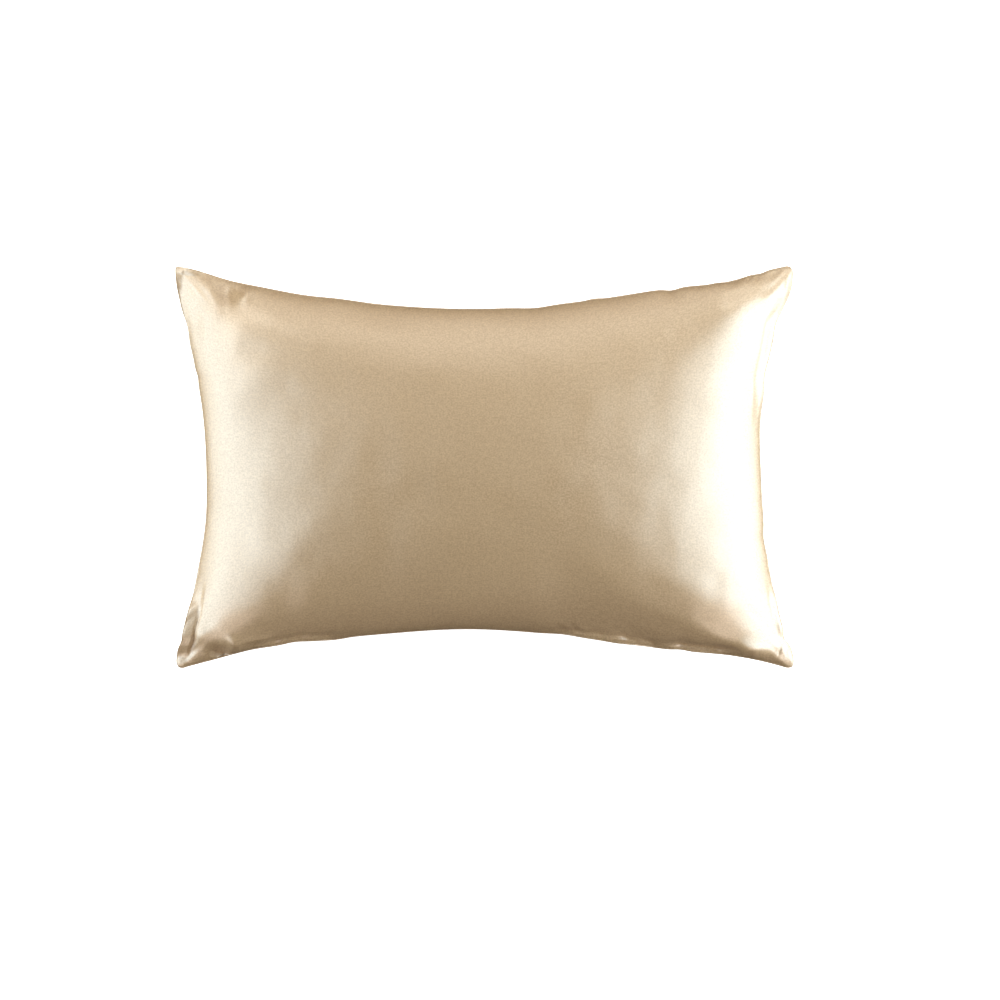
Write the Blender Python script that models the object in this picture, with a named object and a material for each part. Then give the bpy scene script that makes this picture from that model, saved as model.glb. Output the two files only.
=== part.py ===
"""A filled pillowcase, lying on its back on a flat surface.

One closed solid: a front and a back panel, sewn to each other along all four sides and
filled. The sides are drawn in between four ears, the front is crowned, and the back is
flat where it rests. Metres, +Z up, the front faces up and the long sides run along X.
The origin is under the middle of the bounding box, on the surface.
"""
import bpy
import numpy as np

# Driving dimensions
LENGTH = 0.719          # over the corner tips, along X
WIDTH = 0.469           # over the corner tips, along Y
LOFT = 0.190            # from the surface to the top of the crown
SEAM_HEIGHT = 0.084     # of the seam above the surface, in the middle of a side
CORNER_DROOP = 0.010    # how much lower the seam lies at a corner
SEAM_THICKNESS = 0.002  # of the closed seam, where the two panels meet
FRONT_CROWN = LOFT - SEAM_HEIGHT - SEAM_THICKNESS / 2   # rise of the front panel
BACK_CROWN = 0.106      # sag of the back panel, if the surface were not there
REST_ROUNDING = 0.012   # height over which the back turns from hanging to lying flat

# How full the crown is: 2 is an ellipse, more is flatter on top with steeper sides
FULLNESS_ALONG_X = 2.4
FULLNESS_ALONG_Y = 2.2

# How far each side is drawn in from the straight line between its corner tips. The top and
# bottom sides (+Y and -Y) run from left to right, the left and right ones from bottom to top.
SIDE_COLUMNS = ("along", "top", "bottom", "left", "right")
SIDE_ROWS = (
    (0.00, 0.000, 0.000, 0.000, 0.000),
    (0.05, 0.008, 0.009, 0.005, 0.004),
    (0.10, 0.018, 0.018, 0.014, 0.014),
    (0.20, 0.034, 0.031, 0.024, 0.026),
    (0.35, 0.047, 0.041, 0.035, 0.036),
    (0.50, 0.051, 0.045, 0.038, 0.040),
    (0.65, 0.043, 0.038, 0.033, 0.038),
    (0.80, 0.027, 0.023, 0.019, 0.028),
    (0.90, 0.018, 0.015, 0.008, 0.013),
    (0.95, 0.007, 0.009, 0.003, 0.004),
    (1.00, 0.000, 0.000, 0.000, 0.000),
)

# The rounded corner tips: which corner it is (1 is right or upper, 0 is left or lower), and
# how far it is pushed in along both axes
TIP_COLUMNS = ("right", "upper", "push")
TIP_ROWS = (
    (0, 0, 0.0035),
    (1, 0, 0.0035),
    (0, 1, 0.0005),
    (1, 1, 0.0040),
)
TIP_REACH = 0.010       # how far along the sides a tip's rounding reaches

# Soft troughs (depth above zero) and ridges (below zero) in the front panel: the middle, the
# direction that each one runs in, half its length, half its width, and its depth
FOLD_COLUMNS = ("x", "y", "degrees", "reach", "spread", "depth")
FOLD_ROWS = (
    (-0.311, -0.203, 70, 0.016, 0.009, 0.0065),     # lower left ear
    (-0.290, -0.200, 60, 0.014, 0.008, -0.0025),
    (-0.270, -0.196, 65, 0.014, 0.008, 0.0030),
    (-0.300, 0.202, -60, 0.016, 0.009, 0.0055),     # upper left ear
    (-0.279, 0.199, -60, 0.013, 0.008, -0.0025),
    (-0.262, 0.196, -65, 0.014, 0.008, 0.0020),
    (0.346, -0.200, 80, 0.018, 0.006, 0.0025),      # lower right ear
    (0.240, -0.196, 35, 0.026, 0.010, 0.0025),
    (0.346, 0.200, -82, 0.020, 0.006, 0.0025),      # upper right ear
    (0.254, 0.196, -125, 0.016, 0.009, 0.0020),
    (0.012, -0.182, 50, 0.018, 0.009, 0.0015),      # along the bottom seam
    (0.137, -0.181, 55, 0.020, 0.009, 0.0018),
)
FOLD_FADE = 0.010       # height above the seam over which a fold fades in

# The mesh: cells along each panel, and how much closer they lie near the seams
CELLS_LONG = 60
CELLS_WIDE = 40
CROWDING = 0.75

CLOTH_COLOUR = (0.45, 0.33, 0.20, 1.0)
CLOTH_ROUGHNESS = 0.35


def clear_scene():
    """Remove every object that the scene starts with."""
    for item in list(bpy.data.objects):
        bpy.data.objects.remove(item, do_unlink=True)


def column(columns, rows, name):
    """One named column of a table, as an array."""
    return np.array([row[columns.index(name)] for row in rows])


def named_rows(columns, rows):
    """The rows of a table, each as a dictionary of its named columns."""
    return [dict(zip(columns, row)) for row in rows]


def smooth_curve(knots, values, places):
    """Read a smooth curve through the knots at the given places (cubic, one slope a knot)."""
    slopes = np.gradient(values, knots)
    span = np.clip(np.searchsorted(knots, places, side="right") - 1, 0, len(knots) - 2)
    step = knots[span + 1] - knots[span]
    t = (places - knots[span]) / step
    start = values[span] * (1 + 2 * t) * (1 - t) ** 2 + slopes[span] * step * t * (1 - t) ** 2
    end = values[span + 1] * t * t * (3 - 2 * t) + slopes[span + 1] * step * t * t * (t - 1)
    return start + end


def drawn_in(side, along):
    """How far a side is drawn in, at fractions of its length."""
    knots = column(SIDE_COLUMNS, SIDE_ROWS, "along")
    return smooth_curve(knots, column(SIDE_COLUMNS, SIDE_ROWS, side), along)


def plan_points(u, v):
    """Spread the panel over its outline: x and y at fractions u along X and v along Y."""
    x = (u - 0.5) * LENGTH + (1 - u) * drawn_in("left", v) - u * drawn_in("right", v)
    y = (v - 0.5) * WIDTH + (1 - v) * drawn_in("bottom", u) - v * drawn_in("top", u)
    for tip in named_rows(TIP_COLUMNS, TIP_ROWS):
        from_tip = np.hypot((u - tip["right"]) * LENGTH, (v - tip["upper"]) * WIDTH)
        inward = tip["push"] * np.exp(-from_tip / TIP_REACH)
        x = x + inward * (1 - 2 * tip["right"])
        y = y + inward * (1 - 2 * tip["upper"])
    return x, y


def seam_level(u, v):
    """Height of the seam, carried inward over the panel."""
    return SEAM_HEIGHT - CORNER_DROOP * (2 * u - 1) ** 2 * (2 * v - 1) ** 2


def fullness(u, v):
    """How much of its crown the panel has: 0 along the seam, 1 in the middle."""
    across_x = 1 - np.abs(2 * u - 1) ** FULLNESS_ALONG_X
    across_y = 1 - np.abs(2 * v - 1) ** FULLNESS_ALONG_Y
    return np.sqrt(np.clip(across_x * across_y, 0, None))


def fold_depth(x, y):
    """Depth of all troughs and ridges at points of the front panel."""
    depth = np.zeros_like(x)
    for fold in named_rows(FOLD_COLUMNS, FOLD_ROWS):
        turn = np.radians(fold["degrees"])
        from_x = x - fold["x"]
        from_y = y - fold["y"]
        along = (from_x * np.cos(turn) + from_y * np.sin(turn)) / fold["reach"]
        across = (from_y * np.cos(turn) - from_x * np.sin(turn)) / fold["spread"]
        depth += fold["depth"] * np.exp(-along ** 2 - across ** 2)
    return depth


def front_height(u, v, x, y):
    """Height of the front panel: the crown over the seam, less its folds."""
    rise = FRONT_CROWN * fullness(u, v)
    fade = rise / (rise + FOLD_FADE)
    return seam_level(u, v) + SEAM_THICKNESS / 2 + rise - fold_depth(x, y) * fade


def back_height(u, v):
    """Height of the back panel, laid flat where it would hang below the surface."""
    free = seam_level(u, v) - SEAM_THICKNESS / 2 - BACK_CROWN * fullness(u, v)
    turning = (free + REST_ROUNDING) ** 2 / (4 * REST_ROUNDING)
    lying = np.where(free < -REST_ROUNDING, 0.0, turning)
    return np.where(free > REST_ROUNDING, free, lying)


def crowded_steps(cells):
    """Fractions from 0 to 1, closer together near both ends."""
    even = np.linspace(0.0, 1.0, cells + 1)
    return even - CROWDING * np.sin(2 * np.pi * even) / (2 * np.pi)


def panel_faces(first, flipped):
    """The quads of one panel, whose points are numbered from first."""
    faces = []
    for i in range(CELLS_LONG):
        for j in range(CELLS_WIDE):
            a = first + i * (CELLS_WIDE + 1) + j
            b = a + CELLS_WIDE + 1
            quad = (a, b, b + 1, a + 1)
            faces.append(quad[::-1] if flipped else quad)
    return faces


def seam_faces(back_offset):
    """The narrow wall all round, between the front panel's rim and the back panel's."""
    rim = [(i, 0) for i in range(CELLS_LONG)]
    rim += [(CELLS_LONG, j) for j in range(CELLS_WIDE)]
    rim += [(i, CELLS_WIDE) for i in range(CELLS_LONG, 0, -1)]
    rim += [(0, j) for j in range(CELLS_WIDE, 0, -1)]
    loop = [i * (CELLS_WIDE + 1) + j for i, j in rim]
    faces = []
    for here, there in zip(loop, loop[1:] + loop[:1]):
        faces.append((here + back_offset, there + back_offset, there, here))
    return faces


def cloth_material():
    """The satin, plain."""
    material = bpy.data.materials.new("satin")
    material.use_nodes = True
    shader = material.node_tree.nodes["Principled BSDF"]
    shader.inputs["Base Color"].default_value = CLOTH_COLOUR
    shader.inputs["Roughness"].default_value = CLOTH_ROUGHNESS
    shader.inputs["Metallic"].default_value = 0.0
    return material


def build_pillowcase():
    """Model the filled case as one closed solid."""
    u, v = np.meshgrid(crowded_steps(CELLS_LONG), crowded_steps(CELLS_WIDE), indexing="ij")
    x, y = plan_points(u, v)
    x -= (x.min() + x.max()) / 2
    y -= (y.min() + y.max()) / 2
    front = np.stack([x, y, front_height(u, v, x, y)], axis=-1).reshape(-1, 3)
    back = np.stack([x, y, back_height(u, v)], axis=-1).reshape(-1, 3)
    faces = panel_faces(0, False) + panel_faces(len(front), True) + seam_faces(len(front))
    mesh = bpy.data.meshes.new("pillowcase")
    mesh.from_pydata(np.concatenate([front, back]).tolist(), [], faces)
    mesh.materials.append(cloth_material())
    mesh.shade_smooth()
    pillowcase = bpy.data.objects.new("pillowcase", mesh)
    bpy.context.scene.collection.objects.link(pillowcase)
    return pillowcase


clear_scene()
build_pillowcase()
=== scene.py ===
"""The looks of a filled satin pillowcase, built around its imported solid.

One piece, the pillowcase: a front and a back panel sewn all round and filled, refined from
the solid's shape by a pressure simulation, with its seam, gathers and corner folds.
Metres, +Z up, X along the long sides. The camera looks straight down on the front.
"""

import bpy
import numpy as np
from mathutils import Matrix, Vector


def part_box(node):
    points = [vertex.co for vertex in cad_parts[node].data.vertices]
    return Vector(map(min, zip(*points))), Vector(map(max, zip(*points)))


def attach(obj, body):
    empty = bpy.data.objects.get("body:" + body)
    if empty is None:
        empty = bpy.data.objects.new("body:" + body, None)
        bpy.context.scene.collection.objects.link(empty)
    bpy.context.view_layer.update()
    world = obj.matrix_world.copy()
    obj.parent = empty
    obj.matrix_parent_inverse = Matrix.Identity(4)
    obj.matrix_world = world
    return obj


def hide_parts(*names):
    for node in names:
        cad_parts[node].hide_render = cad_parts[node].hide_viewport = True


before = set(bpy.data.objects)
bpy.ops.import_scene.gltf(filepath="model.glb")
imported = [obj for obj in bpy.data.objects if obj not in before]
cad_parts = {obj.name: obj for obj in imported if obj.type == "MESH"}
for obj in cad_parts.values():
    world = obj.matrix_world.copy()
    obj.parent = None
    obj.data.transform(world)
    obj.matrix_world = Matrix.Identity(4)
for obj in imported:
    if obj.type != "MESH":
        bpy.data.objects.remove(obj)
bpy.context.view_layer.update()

# ---- Driving dimensions -------------------------------------------------------------------
LOW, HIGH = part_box("pillowcase")
LENGTH = HIGH.x - LOW.x         # over the corner tips
WIDTH = HIGH.y - LOW.y
LOFT = HIGH.z - LOW.z
CLOTH_LENGTH = 0.762            # the flat panels, before filling
CLOTH_WIDTH = 0.508
SEAM_HEIGHT = 0.084             # of the seam above the surface, in the middle of a side
CORNER_DROOP = 0.010            # how much lower the seam lies at a corner
FRONT_CROWN = LOFT - SEAM_HEIGHT
BACK_CROWN = 0.106              # sag of the back panel, if the surface were not there
REST_ROUNDING = 0.012           # height over which the back turns from hanging to lying flat
FULLNESS_ALONG_X = 2.4          # 2 is an ellipse, more is flatter with steeper sides
FULLNESS_ALONG_Y = 2.2
LIP_WIDTH = 0.0008              # of the sewn edge that stands out from the panels
LIP_THICKNESS = 0.0014
PANEL_GAP = 0.0010              # between the two panels' rims, at the lip

# How far each side is drawn in from the straight line between its corner tips. The top and
# bottom sides (+Y and -Y) run from left to right, the left and right ones from bottom to top.
SIDE_COLUMNS = ("along", "top", "bottom", "left", "right")
SIDE_ROWS = (
    (0.00, 0.000, 0.000, 0.000, 0.000),
    (0.05, 0.008, 0.009, 0.005, 0.004),
    (0.10, 0.018, 0.018, 0.014, 0.014),
    (0.20, 0.034, 0.031, 0.024, 0.026),
    (0.35, 0.047, 0.041, 0.035, 0.036),
    (0.50, 0.051, 0.045, 0.038, 0.040),
    (0.65, 0.043, 0.038, 0.033, 0.038),
    (0.80, 0.027, 0.023, 0.019, 0.028),
    (0.90, 0.018, 0.015, 0.008, 0.013),
    (0.95, 0.007, 0.009, 0.003, 0.004),
    (1.00, 0.000, 0.000, 0.000, 0.000),
)

# The rounded corner tips: which corner it is (1 is right or upper, 0 is left or lower), its
# radius, and how far it is pushed in along both axes
TIP_COLUMNS = ("right", "upper", "radius", "push_x", "push_y")
TIP_ROWS = (
    (0, 0, 0.012, 0.0012, -0.0010),
    (1, 0, 0.013, -0.0010, -0.0010),
    (0, 1, 0.004, 0.0010, 0.0005),
    (1, 1, 0.011, 0.0010, -0.0010),
)
TIP_REACH = 0.012               # over which the push dies away

# Small irregularities of the outline: the side, the place along it (x or y), half the length,
# and how far the seam lies further in there
NICK_COLUMNS = ("side", "at", "reach", "inward")
NICK_DEPTH = 0.050              # how far into the panel they carry on

NICK_ROWS = (
    ("top", -0.299, 0.034, 0.0020),
    ("top", -0.167, 0.032, -0.0018),
    ("top", 0.058, 0.022, 0.0021),
    ("top", 0.126, 0.009, -0.0014),
    ("top", 0.216, 0.010, 0.0026),
    ("top", 0.268, 0.008, -0.0008),
    ("top", 0.319, 0.008, 0.0018),
    ("bottom", -0.262, 0.030, 0.0013),
    ("bottom", -0.218, 0.016, 0.0020),
    ("bottom", -0.172, 0.016, -0.0016),
    ("bottom", -0.040, 0.085, 0.0020),
    ("bottom", 0.090, 0.018, 0.0012),
    ("bottom", 0.150, 0.016, -0.0008),
    ("bottom", 0.226, 0.010, 0.0014),
    ("bottom", 0.285, 0.035, 0.0010),
    ("left", 0.162, 0.014, 0.0022),
    ("left", 0.128, 0.012, 0.0006),
    ("left", 0.104, 0.008, 0.0012),
    ("left", -0.060, 0.040, 0.0015),
    ("left", -0.176, 0.016, -0.0012),
    ("left", -0.200, 0.007, 0.0020),
    ("right", 0.197, 0.014, -0.0016),
    ("right", 0.164, 0.013, 0.0024),
    ("right", 0.105, 0.014, 0.0020),
    ("right", 0.045, 0.035, 0.0014),
    ("right", -0.083, 0.014, 0.0020),
    ("right", -0.150, 0.020, -0.0006),
    ("right", -0.196, 0.008, 0.0036),
)

# Bumps (rise above zero) and hollows of the front panel: the middle, the direction that each
# one runs in, half its length, half its width, and its height. The broad ones show how
# unevenly the filling lies. The fine ones are the folds of the ears, the puckers beside the
# seams and the creases of the face.
FOLD_COLUMNS = ("x", "y", "degrees", "reach", "spread", "rise")
BROAD_ROWS = (
    (-0.215, 0.165, -25, 0.060, 0.028, 0.0055),
    (-0.080, 0.125, -5, 0.110, 0.035, 0.0038),
    (-0.020, 0.070, 0, 0.060, 0.040, 0.0012),
    (-0.300, 0.080, 0, 0.035, 0.032, 0.0035),
    (-0.340, 0.185, 80, 0.050, 0.028, -0.0090),
    (-0.295, 0.200, -30, 0.022, 0.014, -0.0030),
    (-0.120, 0.180, 0, 0.045, 0.022, -0.0045),
    (0.090, 0.185, 5, 0.075, 0.022, -0.0035),
    (0.275, 0.195, 20, 0.040, 0.030, 0.0090),
    (0.180, 0.090, 0, 0.045, 0.040, -0.0018),
    (0.325, 0.095, 85, 0.070, 0.030, -0.0060),
    (0.290, -0.020, 85, 0.070, 0.035, -0.0030),
    (-0.105, -0.050, 90, 0.060, 0.040, -0.0030),
    (-0.115, -0.140, 90, 0.040, 0.035, -0.0030),
    (-0.300, -0.075, 75, 0.045, 0.030, -0.0040),
    (-0.330, -0.130, 80, 0.040, 0.015, -0.0050),
    (-0.265, -0.165, 0, 0.050, 0.035, 0.0055),
    (-0.280, -0.205, -30, 0.025, 0.015, 0.0030),
    (-0.210, -0.100, 60, 0.045, 0.030, 0.0015),
    (-0.175, -0.200, 5, 0.040, 0.018, -0.0050),
    (-0.030, -0.180, 90, 0.035, 0.028, 0.0040),
    (0.100, -0.180, 0, 0.050, 0.040, -0.0090),
    (0.185, -0.200, -20, 0.050, 0.020, -0.0090),
    (0.250, -0.150, 0, 0.055, 0.045, 0.0085),
    (0.300, -0.205, -20, 0.030, 0.020, 0.0060),
    (0.170, -0.110, 0, 0.030, 0.030, 0.0015),
    (-0.350, -0.210, 0, 0.025, 0.012, -0.0070),
    (0.050, -0.060, 0, 0.070, 0.040, -0.0010),
    (0.090, -0.120, 90, 0.035, 0.030, -0.0025),
    (0.165, -0.145, -30, 0.035, 0.020, 0.0025),
    (0.265, -0.198, -25, 0.040, 0.012, 0.0050),
    (0.165, -0.195, -20, 0.035, 0.015, -0.0040),
    (0.040, -0.185, 0, 0.030, 0.020, -0.0025),
    (0.325, -0.140, 80, 0.030, 0.015, -0.0030),
    (0.275, -0.110, -20, 0.030, 0.020, 0.0017),
    (0.000, -0.150, 0, 0.030, 0.020, 0.0015),
    (-0.070, -0.190, 0, 0.025, 0.015, 0.0015),
    (-0.145, -0.180, 10, 0.045, 0.015, -0.0025),
    (-0.200, -0.150, 70, 0.030, 0.020, 0.0018),
    (-0.265, -0.203, 10, 0.030, 0.010, 0.0050),
    (-0.328, -0.190, -40, 0.012, 0.010, 0.0040),
    (-0.355, -0.215, 0, 0.015, 0.008, -0.0040),
    (-0.355, 0.210, -80, 0.025, 0.012, -0.0040),
    (-0.300, 0.165, 70, 0.030, 0.014, -0.0022),
    (-0.250, 0.110, 60, 0.040, 0.030, 0.0012),
    (-0.320, 0.030, 90, 0.030, 0.012, 0.0025),
    (-0.160, 0.165, -20, 0.030, 0.020, 0.0020),
    (0.030, 0.145, -30, 0.060, 0.020, 0.0012),
    (0.220, 0.180, 0, 0.030, 0.020, 0.0018),
    (0.165, 0.192, 5, 0.030, 0.012, -0.0020),
    (0.265, 0.212, 15, 0.030, 0.008, 0.0040),
    (0.290, 0.095, 0, 0.020, 0.020, -0.0017),
    (0.345, 0.180, 80, 0.020, 0.010, -0.0020),
    (-0.050, -0.030, 0, 0.040, 0.030, -0.0010),
    (0.205, -0.125, 60, 0.035, 0.022, 0.0018),
    (0.262, -0.125, 80, 0.030, 0.015, -0.0013),
    (0.260, 0.150, 0, 0.030, 0.020, 0.0012),
    (0.290, 0.085, 0, 0.025, 0.020, -0.0010),
    (-0.300, 0.140, 80, 0.030, 0.015, -0.0015),
    (-0.270, -0.085, 80, 0.030, 0.015, -0.0013),
    (-0.300, 0.050, 45, 0.030, 0.018, 0.0013),
    (-0.200, 0.110, 0, 0.040, 0.020, 0.0010),
    (-0.130, 0.145, 0, 0.030, 0.012, 0.0010),
    (-0.020, 0.175, 0, 0.030, 0.020, 0.0010),
    (0.290, 0.207, 15, 0.030, 0.007, 0.0035),
    (0.050, -0.100, 0, 0.050, 0.030, -0.0010),
    (0.200, -0.178, -20, 0.040, 0.010, -0.0025),
)
FINE_ROWS = (
    # upper left ear: crest, hollow behind it, lump, step along the left edge
    (-0.3142, 0.2018, -59, 0.0200, 0.0060, 0.0035),
    (-0.2981, 0.2006, -59, 0.0140, 0.0090, -0.0060),
    (-0.2700, 0.2000, 60, 0.0130, 0.0090, 0.0080),
    (-0.3290, 0.1672, -77, 0.0260, 0.0060, -0.0020),
    # lower left ear: pocket above the seam, its rim, roll along the seam
    (-0.3020, -0.2170, -35, 0.0120, 0.0080, -0.0200),
    (-0.2850, -0.2060, -50, 0.0120, 0.0070, 0.0070),
    (-0.2590, -0.2110, 14, 0.0200, 0.0100, 0.0120),
    # lower right ear: two hollows above the seam, rolls below and beside them, pleats
    (0.2277, -0.2029, -8, 0.0120, 0.0050, -0.0080),
    (0.2669, -0.2095, -8, 0.0150, 0.0060, -0.0100),
    (0.2589, -0.2155, -4, 0.0120, 0.0025, 0.0040),
    (0.3050, -0.2120, -5, 0.0200, 0.0095, 0.0100),
    (0.3396, -0.2110, 73, 0.0110, 0.0024, -0.0018),
    (0.3476, -0.2098, -78, 0.0080, 0.0022, -0.0022),
    (0.3361, -0.2266, -15, 0.0090, 0.0025, -0.0030),
    (0.3511, -0.2237, 0, 0.0070, 0.0060, 0.0020),
    # upper right ear: crease on the edge, narrow ridge to the tip, small hollow
    (0.3315, 0.2237, 28, 0.0090, 0.0030, -0.0020),
    (0.3482, 0.2064, 79, 0.0180, 0.0020, 0.0016),
    (0.3525, 0.2052, 79, 0.0100, 0.0020, -0.0015),
    (0.3494, 0.2237, -60, 0.0050, 0.0018, -0.0008),
    (0.3211, 0.2029, 45, 0.0080, 0.0050, -0.0015),
    # small puckers along the lower and the upper seam
    (-0.2660, -0.2080, 45, 0.0075, 0.0030, -0.0050),
    (-0.2550, -0.2050, 40, 0.0080, 0.0030, 0.0040),
    (-0.2410, -0.2010, 50, 0.0080, 0.0030, -0.0060),
    (-0.2290, -0.1990, 40, 0.0080, 0.0030, 0.0040),
    (-0.2120, -0.1970, 50, 0.0070, 0.0030, -0.0050),
    (-0.1970, -0.1940, 40, 0.0075, 0.0030, 0.0040),
    (-0.1800, -0.1920, 50, 0.0060, 0.0028, -0.0045),
    (0.0870, -0.1840, -40, 0.0060, 0.0026, -0.0040),
    (0.1050, -0.1870, -45, 0.0080, 0.0030, -0.0055),
    (0.1180, -0.1905, -35, 0.0080, 0.0030, 0.0022),
    (0.1330, -0.1930, -45, 0.0080, 0.0030, -0.0028),
    (0.1480, -0.1960, -30, 0.0080, 0.0030, 0.0008),
    (0.1640, -0.1990, -45, 0.0080, 0.0030, -0.0030),
    (0.1780, -0.2005, -35, 0.0070, 0.0028, 0.0035),
    (0.1930, -0.2025, -45, 0.0070, 0.0028, -0.0045),
    (0.2438, 0.2060, 70, 0.0050, 0.0018, -0.0030),
    (0.2692, 0.2090, 80, 0.0050, 0.0018, -0.0030),
    (0.3038, 0.2160, 60, 0.0050, 0.0020, -0.0030),
    (0.3142, 0.2180, 75, 0.0040, 0.0018, -0.0025),
    # faint creases on the face
    (-0.2470, -0.0060, 0, 0.0120, 0.0010, -0.00015),
    (-0.2730, -0.0900, 20, 0.0150, 0.0012, -0.00020),
    (-0.2240, 0.0140, 90, 0.0180, 0.0010, -0.00015),
    (0.2370, 0.0140, 90, 0.0180, 0.0010, -0.00015),
)
FOLD_FADE = 0.006               # height above the seam over which a fold fades in

# Stretches where the two panels lie nearly flat beside the seam before they part: the side, the
# place along it (x or y), half the length, how wide the flat strip is, the distance over which
# the panels part beyond it, the share of their height that is left on the strip, and how far
# the seam is lifted there
SHELF_COLUMNS = ("side", "at", "reach", "width", "part_over", "share", "lift")
SHELF_ROWS = (
    ("left", -0.182, 0.036, 0.0105, 0.0070, 0.10, 0.0220),
    ("left", 0.214, 0.014, 0.0030, 0.0080, 0.25, 0.0030),
    ("right", -0.172, 0.034, 0.0030, 0.0080, 0.40, 0.0170),
    ("right", 0.125, 0.060, 0.0050, 0.0100, 0.35, 0.0180),
    ("bottom", 0.246, 0.034, 0.0060, 0.0070, 0.12, 0.0),
    ("bottom", 0.140, 0.055, 0.0040, 0.0080, 0.30, 0.0200),
    ("bottom", -0.220, 0.050, 0.0040, 0.0080, 0.30, 0.0200),
    ("top", -0.336, 0.015, 0.0030, 0.0060, 0.40, 0.0085),
)
SHELF_END_POWER = 4             # the higher, the more abruptly a strip ends along the seam
LIFT_HOLD_POWER = 6             # the higher, the further the lift holds before it dies away

# The filling's own unevenness: waves in all directions, with their length and height
UNEVEN_COLUMNS = ("wavelength", "height")
UNEVEN_ROWS = (
    (0.060, 0.00020),
    (0.030, 0.00005),
    (0.013, 0.00001),
)
UNEVEN_WAVES = 24
UNEVEN_TURNS = (0.7, 1.4)       # least and most waves that fit in one wavelength above
UNEVEN_SEED = 5

# Gathers: small valleys that run in from the seam, where the longer cloth is taken up. The
# broad ones are there before the simulation, which settles them, and the fine ones come after.
GATHER_COLUMNS = ("name", "spacing", "depth", "reach", "width", "seed")
GATHER_ROWS = (
    ("broad", 0.034, 0.0020, 0.030, 0.0090, 11),
    ("fine", 0.015, 0.0022, 0.010, 0.0036, 23),
)
GATHER_CALM = 0.35              # share of the depth that is left far from the corners
CORNER_SHARE = 0.22             # of a side, over which the gathers calm down
FRONT_GATHERS = 0               # added to the seed, so that the two panels differ
BACK_GATHERS = 1

# Least and most of what varies from one gather to the next, as shares of the values above. The
# slant is how far it drifts along the seam for each metre that it runs inward.
GATHER_DEPTHS = (0.2, 1.0)
GATHER_REACHES = (0.5, 1.4)
GATHER_SLANTS = (-0.5, 0.5)
GATHER_WIDTHS = (0.7, 1.4)
GATHER_STEPS = (0.5, 1.5)

# The mesh: cells along each panel, which are even numbers, and how much closer they lie near
# the seams. The back has half as many.
CELLS_LONG = 320
CELLS_WIDE = 212
CROWDING = 0.55
TINY = 1e-12                    # keeps a division by a length from failing


# ---- Tables and curves ----------------------------------------------------------------------
def column(columns, rows, name):
    """One named column of a table, as an array."""
    return np.array([row[columns.index(name)] for row in rows])


def named_rows(columns, rows):
    """The rows of a table, each as a dictionary of its named columns."""
    return [dict(zip(columns, row)) for row in rows]


def smooth_curve(knots, values, places):
    """Read a smooth curve through the knots at the given places (cubic, one slope a knot)."""
    slopes = np.gradient(values, knots)
    span = np.clip(np.searchsorted(knots, places, side="right") - 1, 0, len(knots) - 2)
    step = knots[span + 1] - knots[span]
    t = (places - knots[span]) / step
    start = values[span] * (1 + 2 * t) * (1 - t) ** 2 + slopes[span] * step * t * (1 - t) ** 2
    end = values[span + 1] * t * t * (3 - 2 * t) + slopes[span + 1] * step * t * t * (t - 1)
    return start + end


def crowded_steps(cells):
    """Fractions from 0 to 1, closer together near both ends."""
    even = np.linspace(0.0, 1.0, cells + 1)
    return even - CROWDING * np.sin(2 * np.pi * even) / (2 * np.pi)


def halved(grid):
    """Every second point of a grid, both ways."""
    return grid[::2, ::2]


# ---- The sides of the panels ------------------------------------------------------------------
def is_upright(side):
    """Whether a side is the left or the right one, which run along Y."""
    return side in ("left", "right")


def is_far(side):
    """Whether a side lies at +X or +Y of the middle."""
    return side in ("right", "top")


def place_along(side, x, y):
    """How far along a side the points lie."""
    return y if is_upright(side) else x


def distance_from(side, u, v):
    """Distance from a side's straight line, at fractions u and v of the panel."""
    fraction = u if is_upright(side) else v
    span = LENGTH if is_upright(side) else WIDTH
    return np.abs(fraction - (1 if is_far(side) else 0)) * span


# ---- The filled shape -------------------------------------------------------------------------
def drawn_in(side, along):
    """How far a side is drawn in, at fractions of its length."""
    knots = column(SIDE_COLUMNS, SIDE_ROWS, "along")
    return smooth_curve(knots, column(SIDE_COLUMNS, SIDE_ROWS, side), along)


def plan_points(u, v):
    """Spread a panel over its outline, inside the lip: x and y at fractions u and v."""
    x = (u - 0.5) * LENGTH + (1 - u) * drawn_in("left", v) - u * drawn_in("right", v)
    y = (v - 0.5) * WIDTH + (1 - v) * drawn_in("bottom", u) - v * drawn_in("top", u)
    for nick in named_rows(NICK_COLUMNS, NICK_ROWS):
        side = nick["side"]
        near = np.exp(-(distance_from(side, u, v) / NICK_DEPTH) ** 2)
        off = (place_along(side, x, y) - nick["at"]) / nick["reach"]
        inward = nick["inward"] * near * np.exp(-off ** 2)
        if is_upright(side):
            x = x + inward * (-1 if is_far(side) else 1)
        else:
            y = y + inward * (-1 if is_far(side) else 1)
    for tip in named_rows(TIP_COLUMNS, TIP_ROWS):
        inward_x = np.abs(u - tip["right"]) * LENGTH
        inward_y = np.abs(v - tip["upper"]) * WIDTH
        part_x = np.clip(1 - inward_x / tip["radius"], 0, 1)
        part_y = np.clip(1 - inward_y / tip["radius"], 0, 1)
        near = np.exp(-np.hypot(inward_x, inward_y) / TIP_REACH)
        shift_x = tip["radius"] * part_x * (1 - np.sqrt(1 - part_y ** 2 / 2))
        shift_y = tip["radius"] * part_y * (1 - np.sqrt(1 - part_x ** 2 / 2))
        x = x + (shift_x + tip["push_x"] * near) * (1 - 2 * tip["right"])
        y = y + (shift_y + tip["push_y"] * near) * (1 - 2 * tip["upper"])
    x = x - (x.min() + x.max()) / 2
    y = y - (y.min() + y.max()) / 2
    x = x * (LENGTH / 2 - LIP_WIDTH) / x.max()
    y = y * (WIDTH / 2 - LIP_WIDTH) / y.max()
    return x, y


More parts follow.
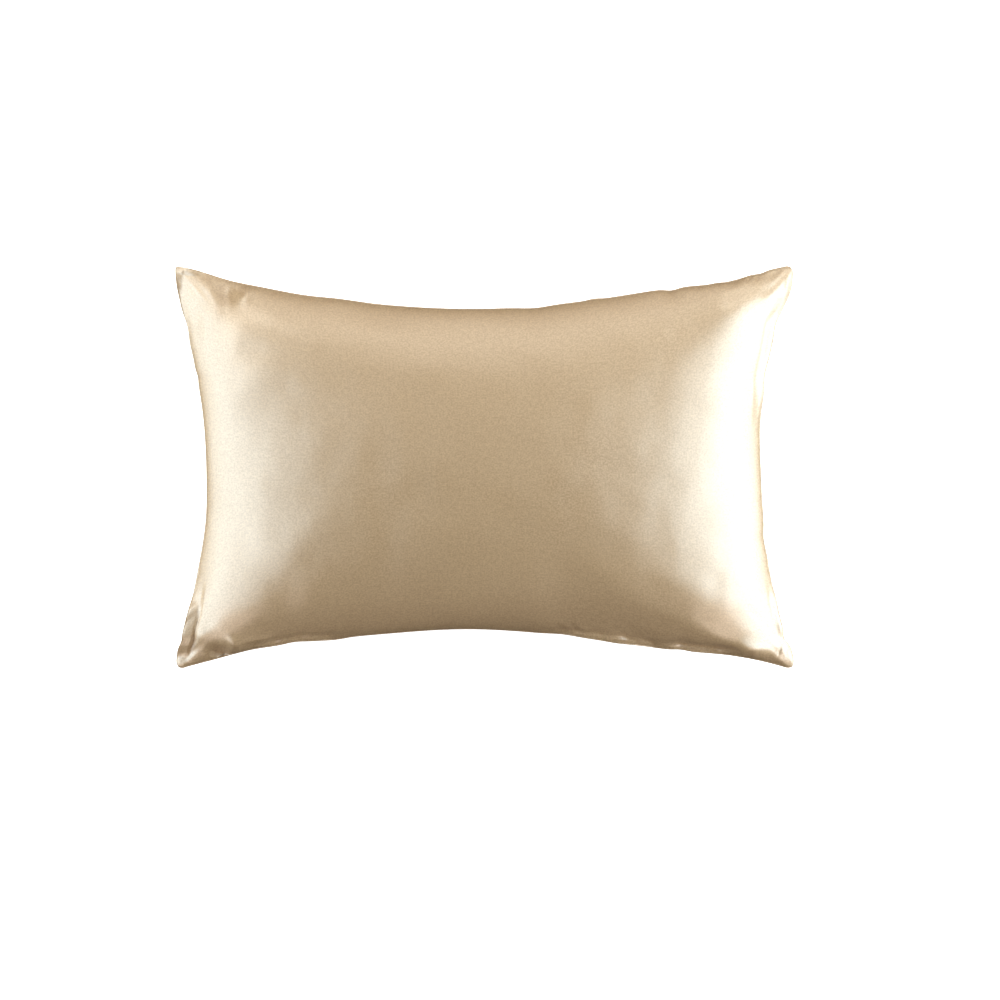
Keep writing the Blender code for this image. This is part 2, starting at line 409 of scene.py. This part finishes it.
def seam_level(u, v):
    """Height of the seam, carried inward over the panel."""
    return SEAM_HEIGHT - CORNER_DROOP * (2 * u - 1) ** 2 * (2 * v - 1) ** 2


def fullness(u, v):
    """How much of its crown the panel has: 0 along the seam, 1 in the middle."""
    across_x = 1 - np.abs(2 * u - 1) ** FULLNESS_ALONG_X
    across_y = 1 - np.abs(2 * v - 1) ** FULLNESS_ALONG_Y
    return np.sqrt(np.clip(across_x * across_y, 0, None))


def lay_flat(height):
    """Lay the back on the surface where it would hang below it, with a soft turn."""
    turning = (height + REST_ROUNDING) ** 2 / (4 * REST_ROUNDING)
    lying = np.where(height < -REST_ROUNDING, 0.0, turning)
    return np.where(height > REST_ROUNDING, height, lying)


def normals(points):
    """Unit normals of a grid of points, on the side where u turns to v counterclockwise."""
    across = np.cross(np.gradient(points, axis=0), np.gradient(points, axis=1))
    return across / np.maximum(np.linalg.norm(across, axis=-1, keepdims=True), TINY)


def folds(rows, x, y):
    """Rise of the bumps and hollows of a table at points of the panel."""
    rise = np.zeros_like(x)
    for fold in named_rows(FOLD_COLUMNS, rows):
        turn = np.radians(fold["degrees"])
        from_x = x - fold["x"]
        from_y = y - fold["y"]
        along = (from_x * np.cos(turn) + from_y * np.sin(turn)) / fold["reach"]
        across = (from_y * np.cos(turn) - from_x * np.sin(turn)) / fold["spread"]
        rise += fold["rise"] * np.exp(-along ** 2 - across ** 2)
    return rise


def unevenness(x, y):
    """Height of the small waves that the filling makes, at points of the panel."""
    random = np.random.default_rng(UNEVEN_SEED)
    height = np.zeros_like(x)
    for band in named_rows(UNEVEN_COLUMNS, UNEVEN_ROWS):
        for _ in range(UNEVEN_WAVES):
            turn = random.uniform(0, np.pi)
            turns_a_metre = random.uniform(*UNEVEN_TURNS) / band["wavelength"]
            across = (x * np.cos(turn) + y * np.sin(turn)) * turns_a_metre
            wave = np.cos(2 * np.pi * (across + random.uniform()))
            height += band["height"] * wave * np.sqrt(2 / UNEVEN_WAVES)
    return height


def beside_seam(height, u, v, x, y):
    """Lay a panel flat on the strips beside the seam, and lift the seam there."""
    share = np.ones_like(u)
    seam = seam_level(u, v)
    for shelf in named_rows(SHELF_COLUMNS, SHELF_ROWS):
        side = shelf["side"]
        past_strip = (distance_from(side, u, v) - shelf["width"]) / shelf["part_over"]
        beyond = np.clip(past_strip, 0, 1)
        apart = beyond * beyond * (3 - 2 * beyond)
        off = (place_along(side, x, y) - shelf["at"]) / shelf["reach"]
        there = np.exp(-off ** SHELF_END_POWER)
        share *= 1 - there * (1 - shelf["share"]) * (1 - apart)
        seam = seam + there * shelf["lift"] * (1 - apart ** LIFT_HOLD_POWER)
    return seam + (height - seam) * share


def gathers(u, v, name, panel):
    """Depth of one kind of gathers along all four seams, at fractions u and v of a panel."""
    kind = next(row for row in named_rows(GATHER_COLUMNS, GATHER_ROWS) if row["name"] == name)
    random = np.random.default_rng(kind["seed"] + panel)
    depth = np.zeros_like(u)
    sides = (
        (u * LENGTH, v * WIDTH, LENGTH),
        (u * LENGTH, (1 - v) * WIDTH, LENGTH),
        (v * WIDTH, u * LENGTH, WIDTH),
        (v * WIDTH, (1 - u) * LENGTH, WIDTH),
    )
    for along, inward, length in sides:
        place = kind["spacing"]
        while place < length - kind["spacing"]:
            from_corner = min(place, length - place) / (length * CORNER_SHARE)
            calm = GATHER_CALM + (1 - GATHER_CALM) * np.exp(-from_corner ** 2)
            deep = kind["depth"] * random.uniform(*GATHER_DEPTHS) * calm
            reach = kind["reach"] * random.uniform(*GATHER_REACHES)
            slant = random.uniform(*GATHER_SLANTS)
            narrow = kind["width"] * random.uniform(*GATHER_WIDTHS)
            width = narrow * (1 + inward / kind["reach"])
            off = (along - place - slant * inward) / width
            depth += deep * np.exp(-off ** 2 - inward / reach)
            place += kind["spacing"] * random.uniform(*GATHER_STEPS)
    return depth


# ---- The mesh ---------------------------------------------------------------------------------
# Section through the lip, from the front panel to the back one: how far out, in lip widths,
# and how high, in half thicknesses
LIP_SECTION = (
    (0.40, 1.00),
    (0.88, 0.60),
    (1.00, 0.00),
    (0.88, -0.60),
    (0.40, -1.00),
)


def rim_numbers(cells_long, cells_wide):
    """Numbers of the points round a panel's rim, counterclockwise from the lower left corner."""
    rim = [(i, 0) for i in range(cells_long)]
    rim += [(cells_long, j) for j in range(cells_wide)]
    rim += [(i, cells_wide) for i in range(cells_long, 0, -1)]
    rim += [(0, j) for j in range(cells_wide, 0, -1)]
    return np.array([i * (cells_wide + 1) + j for i, j in rim])


def outward(loop_points):
    """Unit vectors that point out of a counterclockwise loop, in plan."""
    along = np.roll(loop_points, -1, axis=0) - np.roll(loop_points, 1, axis=0)
    out = np.stack([along[:, 1], -along[:, 0], np.zeros(len(along))], axis=-1)
    return out / np.linalg.norm(out, axis=1, keepdims=True)


def panel_quads(numbers):
    """The quads of one panel, from the grid of its points' numbers."""
    corners = (numbers[:-1, :-1], numbers[1:, :-1], numbers[1:, 1:], numbers[:-1, 1:])
    return np.stack(corners, axis=-1).reshape(-1, 4)


def ring_quads(upper, lower):
    """The quads between two loops of point numbers, the lower one further from the front."""
    return np.stack([lower, np.roll(lower, -1), np.roll(upper, -1), upper], axis=-1)


def ring_joint(upper, lower):
    """The triangles between a loop and a lower one with half as many points."""
    middle = upper[1::2]
    after = np.roll(upper[::2], -1)
    following = np.roll(lower, -1)
    return np.concatenate([
        np.stack([upper[::2], lower, middle], axis=-1),
        np.stack([middle, lower, following], axis=-1),
        np.stack([middle, following, after], axis=-1),
    ])


def assemble(front, back, flat):
    """Join the two panels and the lip to one closed mesh, with the flat cloth as its UV map."""
    numbers = np.arange(front[..., 0].size).reshape(front.shape[:2])
    back_numbers = numbers.size + np.arange(back[..., 0].size).reshape(back.shape[:2])
    rim = rim_numbers(CELLS_LONG, CELLS_WIDE)
    back_rim = rim_numbers(CELLS_LONG // 2, CELLS_WIDE // 2)
    front_points = front.reshape(-1, 3)
    back_points = back.reshape(-1, 3)
    flat_points = flat.reshape(-1, 2)
    middle = front_points[rim] - [0, 0, PANEL_GAP / 2]
    out = outward(middle)
    points = [front_points, back_points]
    flats = [flat_points, halved(flat).reshape(-1, 2)]
    faces = panel_quads(numbers).tolist() + panel_quads(back_numbers)[:, ::-1].tolist()
    upper = rim
    count = numbers.size + back_numbers.size
    for out_by, up_by in LIP_SECTION:
        ring = middle + out * out_by * LIP_WIDTH
        ring[:, 2] += up_by * LIP_THICKNESS / 2
        points.append(ring)
        flats.append(flat_points[rim] + out[:, :2] * out_by * LIP_WIDTH)
        lower = np.arange(count, count + len(ring))
        faces += ring_quads(upper, lower).tolist()
        upper = lower
        count += len(ring)
    faces += ring_joint(upper, back_rim + numbers.size).tolist()
    mesh = bpy.data.meshes.new("pillowcase")
    mesh.from_pydata(np.concatenate(points).tolist(), [], faces)
    uv = mesh.uv_layers.new(name="cloth")
    loop_points = np.empty(len(mesh.loops), np.int32)
    mesh.loops.foreach_get("vertex_index", loop_points)
    uv.data.foreach_set("uv", np.concatenate(flats)[loop_points].ravel())
    mesh.shade_smooth()
    return mesh


# ---- The pressure simulation --------------------------------------------------------------------
# It runs on every second point of the panels, with the seam pinned and the flat cloth as its
# rest shape, and takes up the spare cloth in puckers. Only the puckers are kept.
CLOTH_EASE = 0.975              # of the flat size that the filling takes up without puckers
CLOTH_MASS = 0.1
CLOTH_PRESSURE = 6.0
CLOTH_TENSION = 20.0
CLOTH_COMPRESSION = 5.0
CLOTH_SHEAR = 6.0
CLOTH_BENDING = 0.05
CLOTH_DAMPING = 5.0
CLOTH_QUALITY = 6
CLOTH_FRAMES = 18
BROAD_PASSES = 60               # of averaging, to tell the puckers from the broad shape
SOFT_PASSES = 2                 # and to even out the steps between cells
MOST_MOVED = 0.006


def averaged(grid, passes):
    """Smooth a grid of vectors by repeated averaging of neighbours."""
    for _ in range(passes):
        wide = np.pad(grid, ((1, 1), (0, 0), (0, 0)), mode="edge")
        grid = (wide[:-2] + 2 * wide[1:-1] + wide[2:]) / 4
        wide = np.pad(grid, ((0, 0), (1, 1), (0, 0)), mode="edge")
        grid = (wide[:, :-2] + 2 * wide[:, 1:-1] + wide[:, 2:]) / 4
    return grid


def refined(grid):
    """Put a smooth point between each two neighbours of a grid, along its first axis."""
    wide = np.concatenate([2 * grid[:1] - grid[1:2], grid, 2 * grid[-1:] - grid[-2:-1]])
    fine = np.empty((2 * len(grid) - 1,) + grid.shape[1:])
    fine[::2] = grid
    fine[1::2] = (9 * (wide[1:-2] + wide[2:-1]) - wide[:-3] - wide[3:]) / 16
    return fine


def puckers(moved, rim):
    """The fine part of how a panel moved, capped."""
    fine = averaged(moved - averaged(moved, BROAD_PASSES), SOFT_PASSES)
    fine[rim] = 0
    far = np.linalg.norm(fine, axis=-1, keepdims=True)
    return fine * np.tanh(far / MOST_MOVED) * MOST_MOVED / np.maximum(far, TINY)


def inflate(front, back, u, v):
    """Blow up the two sewn panels and return how the puckers move each point of the two."""
    starts = [halved(front), back]
    flat = np.stack([u * CLOTH_LENGTH, v * CLOTH_WIDTH, np.zeros_like(u)], axis=-1)
    flat = halved(flat) * CLOTH_EASE
    shape = flat.shape[:2]
    numbers = np.arange(shape[0] * shape[1]).reshape(shape)
    rim = np.ones(shape, bool)
    rim[1:-1, 1:-1] = False
    back_numbers = numbers.copy()
    back_numbers[~rim] = numbers.size + np.arange(np.count_nonzero(~rim))
    points = np.concatenate([starts[0].reshape(-1, 3), starts[1][~rim]])
    rest = np.concatenate([flat.reshape(-1, 3), flat[~rim]])
    faces = np.concatenate([panel_quads(numbers), panel_quads(back_numbers)[:, ::-1]])
    mesh = bpy.data.meshes.new("trial")
    mesh.from_pydata(points.tolist(), [], faces.tolist())
    trial = bpy.data.objects.new("trial", mesh)
    bpy.context.scene.collection.objects.link(trial)
    trial.shape_key_add(name="Basis")
    flat_key = trial.shape_key_add(name="flat")
    flat_key.data.foreach_set("co", rest.ravel())
    flat_key.value = 0
    seam = trial.vertex_groups.new(name="seam")
    seam.add([int(number) for number in numbers[rim]], 1.0, "REPLACE")
    cloth = trial.modifiers.new("cloth", "CLOTH")
    settings = cloth.settings
    settings.quality = CLOTH_QUALITY
    settings.mass = CLOTH_MASS
    settings.tension_stiffness = CLOTH_TENSION
    settings.compression_stiffness = CLOTH_COMPRESSION
    settings.shear_stiffness = CLOTH_SHEAR
    settings.bending_stiffness = CLOTH_BENDING
    settings.tension_damping = CLOTH_DAMPING
    settings.compression_damping = CLOTH_DAMPING
    settings.use_pressure = True
    settings.uniform_pressure_force = CLOTH_PRESSURE
    settings.vertex_group_mass = "seam"
    settings.rest_shape_key = flat_key
    settings.effector_weights.gravity = 0
    cloth.collision_settings.use_collision = False
    cloth.collision_settings.use_self_collision = False
    cloth.point_cache.frame_start = 1
    cloth.point_cache.frame_end = CLOTH_FRAMES
    for number in range(1, CLOTH_FRAMES + 1):
        bpy.context.scene.frame_set(number)
    settled = trial.evaluated_get(bpy.context.evaluated_depsgraph_get()).data
    places = np.empty(len(points) * 3)
    settled.vertices.foreach_get("co", places)
    places = places.reshape(-1, 3)
    bpy.data.objects.remove(trial)
    bpy.data.meshes.remove(mesh)
    bpy.context.scene.frame_set(1)
    front_move = puckers(places[numbers] - starts[0], rim)
    back_move = puckers(places[back_numbers] - starts[1], rim)
    return refined(refined(front_move).swapaxes(0, 1)).swapaxes(0, 1), back_move


def fade(full, crown):
    """How far a fold has faded in: 0 along the seam, close to 1 away from it."""
    return full * crown / (full * crown + FOLD_FADE)


def make_pillowcase():
    """Model the filled case and set it in the place of its solid."""
    u, v = np.meshgrid(crowded_steps(CELLS_LONG), crowded_steps(CELLS_WIDE), indexing="ij")
    x, y = plan_points(u, v)
    full = fullness(u, v)
    front = np.stack([x, y, seam_level(u, v) + PANEL_GAP / 2 + FRONT_CROWN * full], axis=-1)
    back = np.stack([x, y, seam_level(u, v) - PANEL_GAP / 2 - BACK_CROWN * full], axis=-1)
    back = halved(back)
    back_u, back_v = halved(u), halved(v)
    front_fade = fade(full, FRONT_CROWN)
    back_fade = halved(fade(full, BACK_CROWN))
    front_depth = gathers(u, v, "broad", FRONT_GATHERS) * front_fade
    back_depth = gathers(back_u, back_v, "broad", BACK_GATHERS) * back_fade
    front -= normals(front) * front_depth[..., None]
    back += normals(back) * back_depth[..., None]
    front_move, back_move = inflate(front, back, u, v)
    front += front_move
    back += back_move
    filling = folds(BROAD_ROWS, x, y) + folds(FINE_ROWS, x, y) + unevenness(x, y)
    front[..., 2] += filling * front_fade
    front[..., 2] = beside_seam(front[..., 2], u, v, x, y)
    back[..., 2] = beside_seam(back[..., 2], back_u, back_v, halved(x), halved(y))
    front_depth = gathers(u, v, "fine", FRONT_GATHERS) * front_fade
    back_depth = gathers(back_u, back_v, "fine", BACK_GATHERS) * back_fade
    front -= normals(front) * front_depth[..., None]
    back += normals(back) * back_depth[..., None]
    back[..., 2] = lay_flat(back[..., 2])
    flat = np.stack([u * CLOTH_LENGTH, v * CLOTH_WIDTH], axis=-1)
    mesh = assemble(front, back, flat)
    mesh.materials.append(satin())
    piece = bpy.data.objects.new("filled_case", mesh)
    bpy.context.scene.collection.objects.link(piece)
    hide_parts("pillowcase")
    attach(piece, "root")
    return piece


# ---- Materials ----------------------------------------------------------------------------------
# Painted glints and painted shade: a lighter and a darker copy of the same satin colour, spread
# over the random grain, stand in for threads that catch the light and the shade between them
SATIN_PAINTED_GLINT = (0.60, 0.42, 0.25, 1.0)        # of the threads that catch the light
SATIN_PAINTED_SHADE = (0.45, 0.29, 0.16, 1.0)        # between them
SATIN_ROUGHNESS = 0.34
ROUGHNESS_SWING = 0.02          # how far the clouds change it, either way
SATIN_ANISOTROPY = 0.4
SATIN_TURN = 0.25               # of the stretched highlight, in full turns
SATIN_SPECULAR = 1.0
SATIN_IOR = 1.8
SATIN_BUMP = 0.00004            # height of the threads
THREAD_ACROSS = 900.0           # cells a metre across the threads, and along them
THREAD_ALONG = 110.0
GRAIN_SCALE = 430.0             # of the speckle that the floating threads make
MOTTLE_SCALE = 150.0            # of the coarser speckle
SLUB_SCALE = 22.0               # of the faint clouds in the sheen
THREAD_DETAIL = 2.0             # finer layers of noise in each pattern
GRAIN_DETAIL = 1.0
SLUB_DETAIL = 2.0
WEFT_SHARE = 0.5                # of the cross threads, in the two sets of threads
MOTTLE_SHARE = 0.25             # of the coarser speckle, in the speckle
SPECKLE_SHARE = 0.7             # of the speckle, in the weave
WEAVE_RANGE = (0.40, 0.60)      # of the weave, over which its colour goes from shade to light
SLUB_RANGE = (0.3, 0.7)         # of the clouds, over which they change the roughness


def noise(tree, vector, stretch, detail):
    """A noise texture on the flat cloth, with its own cells a metre along and across."""
    mapping = tree.nodes.new("ShaderNodeMapping")
    mapping.inputs["Scale"].default_value = (stretch[0], stretch[1], 1.0)
    texture = tree.nodes.new("ShaderNodeTexNoise")
    texture.inputs["Scale"].default_value = 1.0
    texture.inputs["Detail"].default_value = detail
    tree.links.new(vector, mapping.inputs["Vector"])
    tree.links.new(mapping.outputs["Vector"], texture.inputs["Vector"])
    return texture.outputs["Fac"]


def blended(tree, first, second, share):
    """Mix two values, with this share of the second."""
    mix = tree.nodes.new("ShaderNodeMix")
    mix.inputs["Factor"].default_value = share
    tree.links.new(first, mix.inputs["A"])
    tree.links.new(second, mix.inputs["B"])
    return mix.outputs["Result"]


def stretched(tree, value, old_range, new_range):
    """Spread the values of one range over another."""
    spread = tree.nodes.new("ShaderNodeMapRange")
    limits = old_range + new_range
    for name, number in zip(("From Min", "From Max", "To Min", "To Max"), limits):
        spread.inputs[name].default_value = number
    tree.links.new(value, spread.inputs["Value"])
    return spread.outputs["Result"]


def satin():
    """Champagne satin: close threads with a soft, stretched sheen, and a fine random grain that is
    painted glints and painted shade, a lighter and a darker copy of one colour.
    """
    material = bpy.data.materials.new("champagne_satin")
    material.use_nodes = True
    tree = material.node_tree
    shader = tree.nodes["Principled BSDF"]
    shader.inputs["Anisotropic"].default_value = SATIN_ANISOTROPY
    shader.inputs["Anisotropic Rotation"].default_value = SATIN_TURN
    shader.inputs["Specular IOR Level"].default_value = SATIN_SPECULAR
    shader.inputs["IOR"].default_value = SATIN_IOR
    cloth = tree.nodes.new("ShaderNodeUVMap")
    cloth.uv_map = "cloth"
    place = cloth.outputs["UV"]
    warp = noise(tree, place, (THREAD_ACROSS, THREAD_ALONG), THREAD_DETAIL)
    weft = noise(tree, place, (THREAD_ALONG, THREAD_ACROSS), THREAD_DETAIL)
    grain = noise(tree, place, (GRAIN_SCALE, GRAIN_SCALE), GRAIN_DETAIL)
    mottle = noise(tree, place, (MOTTLE_SCALE, MOTTLE_SCALE), GRAIN_DETAIL)
    slubs = noise(tree, place, (SLUB_SCALE, SLUB_SCALE), SLUB_DETAIL)
    threads = blended(tree, warp, weft, WEFT_SHARE)
    speckle = blended(tree, grain, mottle, MOTTLE_SHARE)
    weave = blended(tree, threads, speckle, SPECKLE_SHARE)
    # The base colour goes from the painted shade to the painted glints with the random weave and
    # speckle
    glint_and_shade_paint = tree.nodes.new("ShaderNodeMixRGB")
    tree.links.new(stretched(tree, weave, WEAVE_RANGE, (0.0, 1.0)), glint_and_shade_paint.inputs["Fac"])
    glint_and_shade_paint.inputs["Color1"].default_value = SATIN_PAINTED_SHADE
    glint_and_shade_paint.inputs["Color2"].default_value = SATIN_PAINTED_GLINT
    tree.links.new(glint_and_shade_paint.outputs["Color"], shader.inputs["Base Color"])
    roughness = (SATIN_ROUGHNESS - ROUGHNESS_SWING, SATIN_ROUGHNESS + ROUGHNESS_SWING)
    clouds = stretched(tree, slubs, SLUB_RANGE, roughness)
    tree.links.new(clouds, shader.inputs["Roughness"])
    bump = tree.nodes.new("ShaderNodeBump")
    bump.inputs["Strength"].default_value = 1.0
    bump.inputs["Distance"].default_value = SATIN_BUMP
    tree.links.new(weave, bump.inputs["Height"])
    tree.links.new(bump.outputs["Normal"], shader.inputs["Normal"])
    tangent = tree.nodes.new("ShaderNodeTangent")
    tangent.direction_type = "UV_MAP"
    tangent.uv_map = "cloth"
    tree.links.new(tangent.outputs["Tangent"], shader.inputs["Tangent"])
    return material


# ---- The studio -------------------------------------------------------------------------------
WHITE = (1.0, 1.0, 1.0, 1.0)
FLOOR_SIZE = 12.0
FLOOR_COLOUR = (0.9, 0.9, 0.9, 1.0)
FLOOR_ROUGHNESS = 0.9
FLOOR_GLOW = 1.0


def pale_floor():
    """A plain, pale studio floor, evenly lit from below like a light table."""
    material = bpy.data.materials.new("pale_floor")
    material.use_nodes = True
    shader = material.node_tree.nodes["Principled BSDF"]
    shader.inputs["Base Color"].default_value = FLOOR_COLOUR
    shader.inputs["Roughness"].default_value = FLOOR_ROUGHNESS
    shader.inputs["Emission Color"].default_value = WHITE
    shader.inputs["Emission Strength"].default_value = FLOOR_GLOW
    return material


def make_floor():
    """Lay a large floor under the pillowcase, which only the camera sees."""
    half = FLOOR_SIZE / 2
    mesh = bpy.data.meshes.new("floor")
    mesh.from_pydata(
        [(-half, -half, 0), (half, -half, 0), (half, half, 0), (-half, half, 0)],
        [],
        [(0, 1, 2, 3)],
    )
    mesh.materials.append(pale_floor())
    floor = bpy.data.objects.new("floor", mesh)
    bpy.context.scene.collection.objects.link(floor)
    floor.visible_diffuse = False
    floor.visible_glossy = False
    floor.visible_shadow = False


# Softboxes, each aimed at the pillow. Directions are seen from it, in degrees: 0 is +X and 90
# is +Y. Three walls of them stand beside it, one softbox above the other. A softbox of a wall
# has the wall's power in watts times a squared cosine, which is 1 at the brightest height.
# Those below the horizon stand for the light that the table throws back.
LIGHT_DISTANCE = 1.8
WALL_COLUMNS = ("name", "around", "power", "colour")
WALL_ROWS = (
    ("left", 180, 12.5, "cool"),
    ("right", 0, 17.5, "cool"),
    ("top", 90, 4.5, "warm"),
)
WALL_HEIGHTS = (-28, -10, 8, 26, 44, 62)
WALL_BRIGHTEST = 12
WALL_FALL = 1.4                 # degrees that the cosine's angle grows for each degree of height
WALL_ACROSS = 2.0
WALL_TALL = 0.6

# The single softboxes: direction, height angle, size across and up, power in watts, colour
LIGHT_COLUMNS = ("name", "around", "above", "across", "tall", "power", "colour")
LIGHT_ROWS = (
    ("overhead", 90, 80, 2.0, 0.9, 1.5, "warm"),
    ("upper_left", 135, 20, 1.2, 0.7, 6.5, "warm"),
    ("upper_right", 45, 20, 1.2, 0.7, 5.0, "warm"),
    ("lower_right", 315, 20, 1.2, 0.7, 4.0, "brown"),
    ("lower_left", 225, 20, 1.2, 0.7, 3.5, "brown"),
)
LIGHT_COLOURS = {
    "cool": (0.87, 1.00, 1.04),
    "warm": (1.06, 1.00, 0.88),
    "brown": (1.25, 1.00, 0.85),
}
AIM = Vector((0.0, 0.0, 0.10))


def softboxes():
    """All softboxes as dictionaries: those of the walls, then the single ones."""
    lights = named_rows(LIGHT_COLUMNS, LIGHT_ROWS)
    for wall in named_rows(WALL_COLUMNS, WALL_ROWS):
        for step, height in enumerate(WALL_HEIGHTS):
            from_brightest = height - WALL_BRIGHTEST
            share = np.cos(np.radians(from_brightest * WALL_FALL)) ** 2
            lights.append({
                "name": f"{wall['name']}_{step}",
                "around": wall["around"],
                "above": height,
                "across": WALL_ACROSS,
                "tall": WALL_TALL,
                "power": wall["power"] * share,
                "colour": wall["colour"],
            })
    return lights


def make_lights():
    """Set up the softboxes, in a room that the camera sees as white but that gives no light."""
    for light in softboxes():
        around = np.radians(light["around"])
        above = np.radians(light["above"])
        toward = Vector((
            np.cos(around) * np.cos(above),
            np.sin(around) * np.cos(above),
            np.sin(above),
        ))
        lamp = bpy.data.lights.new(light["name"], "AREA")
        lamp.shape = "RECTANGLE"
        lamp.size = light["across"]
        lamp.size_y = light["tall"]
        lamp.energy = light["power"]
        lamp.color = LIGHT_COLOURS[light["colour"]]
        softbox = bpy.data.objects.new(light["name"], lamp)
        softbox.location = AIM + toward * LIGHT_DISTANCE
        softbox.rotation_mode = "QUATERNION"
        softbox.rotation_quaternion = toward.to_track_quat("Z", "Y")
        softbox.visible_camera = False
        bpy.context.scene.collection.objects.link(softbox)
    world = bpy.data.worlds.new("room")
    world.use_nodes = True
    tree = world.node_tree
    seen = tree.nodes.new("ShaderNodeLightPath")
    tree.links.new(seen.outputs["Is Camera Ray"], tree.nodes["Background"].inputs["Strength"])
    tree.nodes["Background"].inputs["Color"].default_value = WHITE
    bpy.context.scene.world = world


# The photo's frame: its width in pixels, the pillow's middle in it, and the scale at the seam
FRAME_PIXELS = 1000
PILLOW_PIXEL_X = 484.5
PILLOW_PIXEL_Y = 467.0
METRES_PER_PIXEL = 0.001153
LENS = 85.0                     # millimetres, on a sensor 36 mm wide
SENSOR = 36.0


def make_camera():
    """Look straight down on the pillow, framed as in the photo."""
    camera = bpy.data.cameras.new("camera")
    camera.lens = LENS
    camera.sensor_width = SENSOR
    viewer = bpy.data.objects.new("camera", camera)
    distance = FRAME_PIXELS * METRES_PER_PIXEL * LENS / SENSOR
    viewer.location = (
        (FRAME_PIXELS / 2 - PILLOW_PIXEL_X) * METRES_PER_PIXEL,
        (PILLOW_PIXEL_Y - FRAME_PIXELS / 2) * METRES_PER_PIXEL,
        SEAM_HEIGHT + distance,
    )
    bpy.context.scene.collection.objects.link(viewer)
    bpy.context.scene.camera = viewer


make_pillowcase()
make_floor()
make_lights()
make_camera()
bpy.context.scene.view_settings.view_transform = "Standard"
